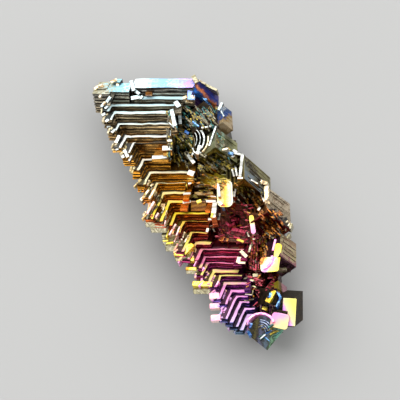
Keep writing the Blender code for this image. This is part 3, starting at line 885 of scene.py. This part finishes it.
slabs = {  # plates with colours of their own; the near-black dish in a hollow is painted shade
    # name, growth x and y, size, attitude, lift, hollow, then start, end and stops of the colours
    "rows": (
        ("cube_front", (12.4, -15.6), (1.9, 3.9, 0.8), (12, -16, -3), 0.12, 0.02,
         (11.3, -15.6), (13.0, -14.9), ((0.0, "ff90d8"), (0.25, "e8a0f8"), (0.4, "ffc0c8"),
          (0.55, "fff8a8"), (1.0, "fff478"))),
        ("cube_wing", (11.1, -16.8), (2.5, 2.2, 0.8), (8, -8, -12), 0.12, 0.02,
         (10.4, -15.6), (11.2, -17.8), ((0.0, "ff98dc"), (0.4, "ffb0cc"), (0.7, "ffd0a8"), (1.0, "ffe898"))),
        # painted shade: a near-black dish with brown tints, in a hollow
        ("shaded_hollow", (9.6, -3.0), (2.6, 4.4, 1.2), (-30, -30, 10), 0.1, 0.3,
         (8.4, -1.0), (11.0, -5.0), ((0.0, "0c0804"), (0.3, "381c08"), (0.5, "0c0604"), (0.7, "4c2408"),
          (1.0, "140804"))),
        ("lavender_plate", (-1.2, 15.1), (1.15, 2.1, 0.8), (-24, -10, -4), 0.15, 0.02,
         (-1.9, 16.0), (-0.6, 14.2), ((0.0, "b894e8"), (0.3, "8494f0"), (0.6, "94c0f4"), (1.0, "7ca8e8"))),
        ("rust_spot", (-7.2, 15.2), (1.0, 1.1, 0.8), (-50, -14, 0), 0.1, 0.02,
         (-7.8, 15.8), (-6.6, 14.6), ((0.0, "3c1c04"), (0.4, "84541c"), (0.7, "5c3408"), (1.0, "a07840"))),
        ("golden_bowl", (3.45, 0.9), (2.2, 3.8, 5.2), (-24, -10, 2), 4.5, 0.4,
         (2.3, 0.9), (4.7, 0.9), ((0.0, "fcf4d0"), (0.25, "f8e890"), (0.42, "e4a400"), (0.55, "f4c420"),
          (0.72, "f4e8a8"), (1.0, "fcf8e8"))),
        ("olive_shelf", (1.7, 2.9), (4.4, 2.1, 1.4), (-34, -6, -10), 0.3, 0.05,
         (-0.2, 3.4), (3.8, 2.6), ((0.0, "1c1004"), (0.25, "644808"), (0.5, "b08c14"), (0.68, "e0c83c"),
          (0.85, "888428"), (1.0, "3c4818"))),
        ("gold_flank", (0.5, 1.95), (2.7, 3.4, 1.6), (-12, -18, 0), 0.25, 0.02,
         (-0.7, 3.4), (1.6, 0.6), ((0.0, "4c2c08"), (0.2, "b4801c"), (0.38, "744810"), (0.58, "e0ac28"),
          (0.78, "94640c"), (1.0, "f0c440"))),
        ("brown_riser", (-0.2, -0.85), (2.2, 1.5, 2.8), (14, -16, 0), 1.7, 0.02,
         (-0.2, 0.0), (0.0, -1.7), ((0.0, "a46c24"), (0.25, "5c3408"), (0.45, "b07828"), (0.6, "643808"),
          (0.8, "a86820"), (1.0, "5c3010"))),
        ("gold_wall", (10.7, -8.0), (1.0, 4.0, 1.2), (-20, -14, -8), 0.15, 0.03,
         (10.2, -7.0), (11.2, -9.0), ((0.0, "ffe830"), (0.4, "fff070"), (0.6, "ffe030"), (1.0, "fff4a0"))),
        ("gold_foot", (9.65, -8.95), (2.6, 2.1, 3.8), (-24, -10, 4), 2.8, 0.03,
         (8.5, -8.0), (10.9, -9.9), ((0.0, "e88410"), (0.12, "f4a020"), (0.22, "fff8a8"),
          (0.36, "fffce0"), (0.45, "f49cd8"), (0.55, "f4a0e0"), (0.62, "fff088"), (1.0, "ffe838"))),
        ("rose_wall", (7.3, -3.4), (0.64, 2.6, 2.4), (-24, -10, 8), 0.8, 0.03,
         (7.2, -2.2), (7.4, -4.6), ((0.0, "ffd020"), (0.35, "fff078"), (0.55, "ffb4c8"), (1.0, "ff90d0"))),
    ),
    "block": 1,            # the depth it is modelled at, before its back moves to its thickness
    "rim": 0.2, "slope": 0.15, "side": 0.3, "edge": 0.12, "segments": 4,
    "corners": {
        "golden_bowl": 0.75, "rose_wall": 0.28, "gold_wall": 0.4, "cube_wing": 0.4, "gold_foot": 0.5,
    },
}
for name, (x, y), (width, height, thick), attitude, lift, hollow, start, end, stops in slabs["rows"]:
    slab = startPiece(name)
    addBlock((-width / 2, -height / 2, -slabs["block"]), (width / 2, height / 2, 0))
    if name in slabs["corners"]:
        bevelUprights(slabs["corners"][name], slabs["segments"])
    bpy.ops.mesh.select_all(action="SELECT")
    selectFaces(lambda face: face.normal.z > squareOn)
    bpy.ops.mesh.inset(thickness=slabs["rim"] * mm, depth=0)
    bpy.ops.mesh.inset(thickness=slabs["slope"] * mm, depth=-hollow * mm)
    bpy.ops.object.mode_set(mode="OBJECT")
    tilt = Euler([radians(angle) for angle in attitude]).to_matrix() @ Vector((0, 0, 1))
    between = -(slabs["block"] + hollow) / 2 * mm   # halfway from the hollow's floor to the back
    for vertex in slab.data.vertices:
        slant = -(tilt.x * vertex.co.x + tilt.y * vertex.co.y) / tilt.z
        vertex.co.z = (vertex.co.z if vertex.co.z > between else -thick * mm) + slant
    for face in slab.data.polygons:
        face.material_index = 1 if abs(face.normal.z) < slabs["side"] else 0
    place = placed((x, y, surfaceAt(x, y) + lift), (0, 0, attitude[2]))
    finishPiece(slab, place, slabs["edge"], makeAcross(name + "Film", start, end, stops), chainFilm)

arcs = {  # thin rims that follow a curve
    # growth x and y of the centre, half width and half height, first and last angle, width, tone
    "rows": (
        (-0.6, 8.1, 1.3, 1.8, -50, 75, 0.26, "pale"), (-0.9, 8.0, 1.1, 1.7, -45, 70, 0.12, "pale"),
        (-1.2, 7.9, 0.95, 1.5, -40, 60, 0.12, "pale"), (-1.4, 7.8, 0.75, 1.3, -30, 60, 0.1, "cream"),
        (-0.5, 8.3, 1.75, 2.4, -55, 12, 0.2, "cream"), (0.0, 7.2, 0.9, 1.3, 200, 300, 0.18, "pale"),
        (8.7, -8.2, 1.35, 1.5, -80, 15, 0.34, "rose"),
        (10.2, -14.0, 1.0, 1.2, -50, 60, 0.18, "blue"), (8.5, -17.9, 2.0, 1.95, 20, 175, 0.34, "rose"),
        (8.4, -18.6, 1.7, 1.9, 25, 95, 0.12, "slate"), (8.4, -18.6, 1.4, 1.55, 15, 95, 0.14, "slate"),
        (8.4, -18.6, 1.1, 1.2, 10, 95, 0.1, "slate"), (8.4, -18.6, 0.8, 0.9, 0, 95, 0.12, "slate"),
    ),
    "samples": 7,                                   # places along it where the surface is felt
    "lift": 0.2, "root": 0.4, "deepest": 2.0,       # over that surface, and the most it reaches down
    "steps": 14, "merge": 0.0001, "edge": 0.05,
}
facing = wayOf(gleamTurn, (0, 0, 1))
for x, y, reachX, reachY, first, last, width, tone in arcs["rows"]:
    levels = []
    for sample in range(arcs["samples"]):
        angle = radians(first + (last - first) * sample / (arcs["samples"] - 1))
        offset = Vector((reachX * cos(angle), reachY * sin(angle)))
        plane = -(facing.xy @ offset) / facing.z
        levels.append(surfaceAt(x + offset.x, y + offset.y) - plane)
    levels.sort()
    top = levels[-2] + arcs["lift"]
    foot = max(levels[1], top - arcs["deepest"]) - arcs["root"]
    arc = startPiece("curved_rim")
    turn = Matrix.Rotation(radians(first), 4, "Z")
    bpy.ops.mesh.primitive_plane_add(size=1)
    bpy.ops.transform.resize(value=(width * mm, (top - foot) * mm, 1))
    bpy.ops.object.mode_set(mode="OBJECT")
    for vertex in arc.data.vertices:
        vertex.co = turn @ Vector((reachX * mm + vertex.co.x, 0, vertex.co.y))
    bpy.ops.object.mode_set(mode="EDIT")
    bpy.ops.mesh.select_all(action="SELECT")
    bpy.ops.mesh.spin(steps=arcs["steps"], angle=radians(last - first), center=(0, 0, 0), axis=(0, 0, -1))
    bpy.ops.mesh.select_all(action="SELECT")
    bpy.ops.mesh.remove_doubles(threshold=arcs["merge"] * mm)
    bpy.ops.mesh.normals_make_consistent(inside=False)
    stretch = Matrix.Diagonal((1, reachY / reachX, 1, 1))
    place = placed((x, y, (top + foot) / 2), (*gleam, 0)) @ stretch
    finishPiece(arc, place, arcs["edge"], toneFilms[tone])

streaks = {  # thin grown edges that run down to the right over the hollows
    # corners of the patch in growth x and y, how many, least and most turn, share of each shadow film
    "patches": (
        ((-2.4, 13.2), (2.6, 13.2), (2.0, 10.0), (-2.6, 10.4), 110, (-62, -36), (5, 2, 6, 0, 0)),
        ((-4.8, 12.3), (-3.0, 12.3), (-3.0, 5.8), (-4.6, 5.8), 44, (-100, -70), (2, 3, 4, 0, 0)),
        ((-3.4, 10.2), (-1.2, 10.2), (-0.6, 4.4), (-3.2, 4.6), 80, (-80, -30), (2, 6, 4, 0, 0)),
        ((2.0, 9.4), (3.6, 9.0), (4.2, 7.0), (2.4, 7.2), 8, (-58, -40), (2, 3, 3, 0, 0)),
        ((0.4, 6.4), (4.4, 6.4), (4.4, 4.2), (0.0, 4.2), 70, (-58, -30), (1, 6, 4, 0, 0)),
        ((-1.5, 3.6), (2.2, 3.6), (2.2, -0.2), (-1.3, -0.2), 26, (-9, 9), (0, 4, 0, 3, 0)),
        ((2.0, 3.3), (3.5, 3.3), (2.6, 1.7), (2.0, 1.7), 16, (-50, -25), (0, 6, 0, 1, 0)),
        ((5.0, 2.2), (8.6, 2.0), (8.6, -1.0), (5.4, -1.0), 40, (-70, -36), (0, 3, 2, 2, 0)),
        ((8.2, -1.0), (11.4, -1.6), (11.4, -5.2), (8.4, -5.2), 50, (-58, -36), (0, 0, 1, 4, 0)),
        ((2.8, -0.8), (6.8, -0.6), (6.8, -6.2), (2.6, -5.6), 60, (-60, 30), (0, 0, 0, 1, 5)),
        ((8.4, -4.6), (10.0, -4.6), (10.0, -8.0), (8.4, -8.0), 26, (-95, -60), (0, 1, 0, 4, 0)),
        ((7.8, -10.4), (10.8, -10.4), (10.4, -12.6), (7.4, -12.6), 26, (-60, 60), (0, 0, 0, 1, 4)),
        ((-8.6, 2.4), (-6.4, 2.4), (-4.8, -2.6), (-7.4, -2.6), 30, (50, 75), (0, 1, 3, 1, 0)),
        ((8.0, -17.0), (10.6, -17.6), (11.2, -18.6), (9.0, -19.6), 16, (10, 45), (3, 4, 3, 0, 0)),
        ((6.6, -5.6), (8.3, -5.6), (8.3, -9.8), (6.6, -9.8), 44, (-100, -60), (0, 0, 1, 1, 4)),
        ((6.4, -10.2), (8.4, -10.2), (8.4, -14.8), (6.8, -14.8), 34, (-60, 60), (0, 0, 1, 1, 3)),
        ((1.0, 3.4), (4.2, 3.4), (3.0, 1.6), (0.2, 1.0), 26, (-40, -10), (0, 4, 0, 1, 0)),
    ),
    "long": (0.4, 1.5), "wide": (0.08, 0.28), "thick": 0.5, "lift": (0.0, 0.16), "edge": 0.04,
}
streakRows = []
for first, second, third, fourth, count, turns, shares in streaks["patches"]:
    finishes = [finish for finish, share in zip(shadowFilms, shares) for repeat in range(share)]
    for number in range(count):
        across, down = chance.random(), chance.random()
        upper = Vector(first).lerp(Vector(second), across)
        lower = Vector(fourth).lerp(Vector(third), across)
        finish = finishes[number % len(finishes)]
        streakRows.append((upper.lerp(lower, down), finish, chance.uniform(*turns)))
for finish in shadowFilms:
    piece = startPiece("grown_edges")
    for spot, own, turn in streakRows:
        if own == finish:
            lift = chance.uniform(*streaks["lift"])
            level = surfaceAt(*spot) + lift - streaks["thick"] / 2
            long, wide = chance.uniform(*streaks["long"]), chance.uniform(*streaks["wide"])
            addPlate(*spot, level, long, wide, turn, streaks["thick"])
    finishPiece(piece, lyingFrame, streaks["edge"], finish)

shells = {  # grey tabs that stand out to the left of the legs
    # growth x and y of the top left corner, width, height
    "rows": (
        (-7.7, -2.9, 2.6, 1.0), (-7.0, -3.4, 2.4, 1.3), (-5.4, -4.7, 2.2, 0.9), (-5.2, -5.7, 2.4, 0.6),
        (-4.9, -6.2, 2.6, 1.1), (-3.5, -7.9, 2.2, 0.7), (-2.0, -9.6, 1.8, 0.8), (-1.0, -12.3, 2.6, 0.9),
    ),
    "front": 0.25, "root": 2.4, "edge": 0.1,
    "inward": 0.3, "down": 0.2,   # from its top right corner to where the surface is felt
}
for x, y, width, height in shells["rows"]:
    shell = startPiece("left_shell")
    addBlock((0, -shells["front"], -height), (width, shells["root"], 0))
    felt = surfaceAt(x + width - shells["inward"], y - shells["down"])
    level = felt - width * wayOf(inGrowth, (1, 0, 0)).z
    spot = Matrix.Translation(Vector((x, y, level)) * mm)
    finishPiece(shell, lyingFrame @ spot @ inGrowth.to_3x3().to_4x4(), shells["edge"], toneFilms["shell"])

flakes = {  # small plates that stand on the crystals
    "thick": 0.5, "lift": 0.12, "edge": 0.06,
    "reach": 0.36,         # where the surface under it is felt, as a share of its length
    "rise": 0.6,           # the most it follows that surface up or down
    # growth x and y, length, width and turn, for each tone
    "rows": {
        "pale": (
            (-9.4, 15.8, 1.7, 0.56, -72), (-8.9, 15.1, 1.3, 0.48, -40), (-9.0, 14.2, 1.3, 0.64, 12),
            (-8.2, 14.3, 0.6, 0.42, 60), (-13.6, 13.1, 0.8, 0.42, 60), (-12.8, 13.9, 1.0, 0.5, 60),
            (-13.1, 12.9, 0.7, 0.42, 40), (-13.5, 11.8, 0.6, 0.45, 30), (-13.0, 11.0, 0.6, 0.45, 45),
            (-12.8, 10.2, 0.6, 0.36, 20), (-12.1, 9.5, 0.7, 0.42, 50), (-11.5, 8.3, 1.3, 0.5, 70),
            (-11.6, 7.0, 0.5, 0.36, 30), (-10.3, 6.3, 1.3, 0.5, -60), (-10.8, 6.0, 1.1, 0.48, -65),
            (-9.7, 5.6, 1.0, 0.34, 70), (-3.6, 11.1, 2.9, 0.56, -75), (-2.7, 11.2, 2.1, 0.48, -82),
            (-3.1, 13.2, 1.1, 0.7, -55), (-4.5, 7.0, 1.4, 0.73, 2), (-5.5, 5.9, 2.4, 0.59, 3),
            (-1.2, 5.5, 1.8, 0.56, -50), (-1.2, 3.6, 1.0, 0.84, -20), (-1.4, 2.3, 0.5, 0.48, 10),
            (-1.8, 0.8, 1.1, 0.42, 4), (-1.8, -0.4, 1.2, 0.48, 8), (1.7, 1.5, 1.1, 0.21, 0),
            (1.9, 0.4, 0.9, 0.24, -4), (1.6, -0.4, 1.5, 0.45, 0), (2.1, -1.7, 2.5, 0.7, 88),
            (2.1, -3.0, 1.7, 0.45, 2), (2.8, -2.5, 1.1, 0.25, 88), (1.1, -4.4, 0.7, 0.42, 80),
            (1.6, -3.9, 0.5, 0.34, 30), (2.0, -4.4, 0.7, 0.28, -60), (5.5, -8.6, 1.0, 0.62, 80),
            (5.9, -9.0, 1.1, 0.39, -2), (6.2, -7.8, 1.4, 0.56, -45), (7.1, -7.1, 1.2, 0.31, 80),
            (6.8, -5.0, 0.8, 0.25, -65), (7.6, -5.0, 0.4, 0.36, 0), (7.6, -5.7, 0.4, 0.28, 0),
            (8.3, -1.4, 0.6, 0.42, 60), (8.8, 0.2, 1.8, 0.31, -65), (7.7, 2.2, 1.3, 0.25, -30),
            (4.9, 0.7, 1.3, 0.42, 84), (4.6, -0.5, 0.8, 0.59, 20), (2.7, 1.1, 2.0, 0.36, -80),
            (2.9, -0.6, 0.7, 0.42, -40), (5.9, 4.5, 3.5, 0.45, 88), (5.5, 6.1, 1.3, 0.36, -14),
            (5.0, 6.5, 0.8, 0.5, -35), (5.7, 2.8, 0.8, 0.34, 0), (4.7, 3.6, 1.3, 0.28, -72),
            (5.1, 3.9, 1.7, 0.32, -76), (4.6, 5.9, 0.4, 0.31, 0), (0.9, 10.0, 1.3, 0.32, 6),
            (1.8, 8.8, 3.2, 0.28, 76), (2.9, 13.0, 1.3, 0.42, 70), (3.2, 12.0, 1.1, 0.22, -60),
            (7.4, -13.2, 0.9, 0.22, 85), (6.9, -13.5, 1.0, 0.22, -6), (7.8, -10.7, 0.8, 0.56, 5),
            (7.3, -11.4, 0.6, 0.36, -20), (7.6, -12.2, 0.6, 0.28, -20), (9.2, -15.1, 0.7, 0.45, -20),
            (8.8, -19.2, 1.1, 0.3, 45), (-3.9, 10.2, 1.2, 0.2, -45), (-4.2, 8.2, 0.7, 0.35, 0),
            (-0.1, 6.7, 1.5, 0.5, 80), (-0.9, 6.3, 0.8, 0.3, 70), (-4.1, 9.3, 1.0, 0.16, -85),
        ),
        "cream": (
            (-12.1, 16.6, 1.0, 0.42, 20), (-11.6, 16.3, 0.4, 0.7, 10), (-14.6, 15.7, 0.7, 0.42, 40),
            (-13.9, 16.0, 0.7, 0.42, -20), (-14.0, 14.6, 0.7, 0.34, 70), (-2.0, 14.2, 0.7, 0.42, 30),
            (-1.0, 14.4, 0.6, 0.42, -40), (9.4, 0.4, 2.8, 0.7, -82), (9.0, 2.1, 1.1, 0.62, -20),
            (-1.4, 13.8, 1.3, 0.78, -8), (-13.4, 13.4, 0.6, 0.36, 60), (3.6, 6.8, 1.1, 0.28, 14),
            (8.5, -5.5, 0.6, 0.34, 40), (12.5, -3.6, 0.6, 0.18, 60), (12.3, -4.8, 0.6, 0.2, 70),
            (12.4, -5.4, 0.4, 0.15, 20), (12.0, -4.2, 0.5, 0.15, 80), (12.2, -3.2, 0.5, 0.16, 40),
            (-7.2, 2.2, 0.9, 0.36, 70), (-6.7, 1.9, 0.6, 0.3, 60), (-6.6, 0.6, 1.7, 0.28, 65),
            (-7.4, 0.9, 1.1, 0.3, 60), (-7.9, 0.1, 1.0, 0.42, 50), (-8.0, -0.9, 0.8, 0.36, 70),
            (-7.7, -2.1, 0.7, 0.34, 65), (-5.0, -1.3, 0.8, 0.2, 80), (-4.7, -2.0, 0.8, 0.16, 80),
            (-2.3, -5.2, 1.3, 0.3, 72), (-1.8, -5.6, 1.2, 0.22, 65),
        ),
        "shell": (
            (1.1, 15.8, 3.4, 0.36, -28), (3.6, 13.2, 1.3, 0.28, -40), (-0.6, 16.7, 1.3, 0.63, -60),
            (0.4, 16.3, 1.2, 0.3, -30), (12.7, -3.9, 0.9, 0.4, 70), (12.4, -5.2, 0.8, 0.36, 60),
            (11.4, -9.8, 1.5, 0.36, 4),
        ),
        "gold": (
            (5.7, -5.8, 1.1, 0.36, -22), (1.7, -2.2, 0.7, 0.28, 80), (-4.8, -5.8, 0.8, 0.25, 0),
            (-4.2, -6.1, 1.0, 0.26, 10), (-2.9, -7.8, 1.4, 0.36, -5), (9.1, -15.3, 0.8, 0.5, -20),
            (-1.1, -8.5, 0.7, 0.48, 0), (-1.2, -9.7, 1.5, 0.42, -4), (0.4, -11.9, 2.8, 0.7, -3),
            (9.9, -13.5, 2.0, 0.7, 64), (-1.7, -7.2, 1.6, 0.8, 50), (-1.2, -6.8, 1.0, 0.7, 60),
            (-4.4, -4.6, 1.8, 0.2, 80), (-1.8, 2.1, 0.9, 0.22, 88), (-0.1, -0.3, 0.7, 0.5, 20),
        ),
        "rose": (
            (10.4, -6.4, 1.8, 0.34, 82), (0.4, -9.8, 0.7, 0.5, 60), (2.5, -11.8, 0.8, 0.25, 70),
            (-2.7, -8.7, 0.9, 0.25, 60), (-0.6, -9.0, 1.0, 0.2, 70),
        ),
        "blush": (
            (-6.8, -1.4, 2.1, 0.34, 66), (-6.0, -2.3, 0.9, 0.28, 58), (-3.8, -4.3, 1.9, 0.3, 63),
            (-3.0, -4.6, 1.5, 0.24, 75), (-4.9, -3.4, 1.0, 0.2, 78), (-3.4, -5.6, 0.9, 0.2, 70),
        ),
        "crimson": (
            (5.5, -4.4, 2.1, 0.5, -14), (5.0, -2.9, 1.2, 0.31, 12), (6.1, -4.0, 1.0, 0.2, -10),
            (5.2, -5.4, 1.0, 0.22, -15), (3.9, -3.5, 0.7, 0.34, -40), (4.1, -4.6, 0.6, 0.36, 60),
            (4.6, -3.6, 0.8, 0.22, 40),
        ),
        "ember": (
            (3.1, -5.5, 0.8, 0.62, 70), (3.9, -5.8, 0.5, 0.31, 80), (8.6, -8.5, 1.1, 0.39, 78),
            (4.6, -1.4, 0.8, 0.2, -30), (9.2, -3.6, 1.0, 0.14, -45), (9.9, -2.9, 1.1, 0.14, -45),
            (10.4, -4.3, 1.0, 0.13, -40), (8.8, -2.4, 0.8, 0.14, -50), (11.1, -3.8, 1.0, 0.13, -50),
            (9.7, -1.7, 0.8, 0.15, -40), (10.6, -2.3, 0.7, 0.12, -50), (11.4, -3.1, 0.7, 0.12, -50),
        ),
        "blue": (
            (4.3, 6.4, 0.8, 0.42, -10), (9.7, -13.3, 0.8, 0.53, 78), (11.1, -13.4, 0.8, 0.34, -60),
            (11.0, -14.4, 1.5, 0.25, 68), (0.4, 14.4, 2.0, 0.42, -50), (1.1, 13.6, 1.3, 0.28, -45),
            (-0.5, 10.4, 1.3, 0.22, -40), (-1.8, 9.4, 0.8, 0.42, -35), (3.2, -1.1, 0.7, 0.34, -60),
            (7.1, -17.6, 0.8, 0.4, 80), (6.9, -18.7, 0.9, 0.45, -60), (9.6, -18.5, 1.0, 0.14, 30),
            (9.3, -19.4, 1.2, 0.14, -40),
        ),
    },
}


def addFlakes(name):  # each one's top clears the surface along its length, and its foot is sunk in it
    piece = startPiece(name + "_flakes")
    for x, y, length, width, turn in flakes["rows"][name]:
        end = wayOf(gleamTurn, (cos(radians(turn)), sin(radians(turn)), 0)) * length * flakes["reach"]
        levels = sorted(surfaceAt(x + side * end.x, y + side * end.y) - side * end.z for side in (-1, 0, 1))
        top = min(levels[2], levels[1] + flakes["rise"]) + flakes["lift"]
        foot = max(levels[0], levels[1] - flakes["rise"]) + flakes["lift"] - flakes["thick"]
        addPlate(x, y, (top + foot) / 2, length, width, turn, top - foot)
    finishPiece(piece, lyingFrame, flakes["edge"], toneFilms[name])


for name in flakes["rows"]:
    addFlakes(name)

studio = {
    "floorSize": 6.0, "paper": ("a4a4a3", "9e9e9d"), "grain": 3.0, "rough": 0.6, "gloss": 0.1,
    "air": 0.36,   # brightness all around
    # name, place, width, height, brightness
    "lights": (
        ("highSoftbox", (0.02, 0.62, 0.95), 2.0, 1.5, 2.9),
        ("lowSoftbox", (0.30, 1.05, 0.16), 1.2, 0.42, 4.0),
        ("fillPanel", (0.60, -0.70, 0.75), 1.3, 1.3, 2.1),
        ("sidePanel", (-0.78, -0.61, 0.16), 0.6, 0.32, 2.4),
    ),
}
bpy.ops.mesh.primitive_plane_add(size=studio["floorSize"])
floor = bpy.context.active_object
floor.name = "floor"
paper = Nodes("floorPaper")
place = paper.add("ShaderNodeTexCoord", output=3)
grain = paper.add("ShaderNodeTexNoise", {"Vector": place, "Scale": studio["grain"]})
lightPaper, darkPaper = [linear(shade) for shade in studio["paper"]]
paper.put(paper.shader.inputs["Base Color"], paper.mix(grain, lightPaper, darkPaper))
paper.shader.inputs["Roughness"].default_value = studio["rough"]
paper.shader.inputs["Specular IOR Level"].default_value = studio["gloss"]
floor.data.materials.append(paper.material)

air = bpy.data.worlds.new("studioAir")
air.use_nodes = True
air.node_tree.nodes["Background"].inputs[0].default_value = (1.0, 1.0, 1.0, 1.0)
air.node_tree.nodes["Background"].inputs[1].default_value = studio["air"]
bpy.context.scene.world = air

for name, place, width, height, brightness in studio["lights"]:
    light = bpy.data.lights.new(name, "AREA")
    light.shape = "RECTANGLE"
    light.size, light.size_y = width, height
    light.energy = brightness * pi * width * height
    lamp = bpy.data.objects.new(name, light)
    lamp.location = place
    lamp.rotation_euler = Vector(place).to_track_quat("Z", "Y").to_euler()
    lamp.visible_camera = False
    bpy.context.scene.collection.objects.link(lamp)

print("studio", len(studio["lights"]), "lights")

view = {"frameWidth": 0.056, "distance": 0.8, "sensor": 36.0, "focus": 0.006, "near": 0.01, "far": 10.0}
cameraData = bpy.data.cameras.new("camera")
cameraData.sensor_width = view["sensor"]
cameraData.lens = view["sensor"] * view["distance"] / view["frameWidth"]
cameraData.clip_start, cameraData.clip_end = view["near"], view["far"]
camera = bpy.data.objects.new("camera", cameraData)
bpy.context.scene.collection.objects.link(camera)
camera.matrix_world = lyingFrame @ Matrix.Translation((0, 0, view["distance"] + view["focus"]))
bpy.context.scene.camera = camera
bpy.context.scene.view_settings.view_transform = "Standard"
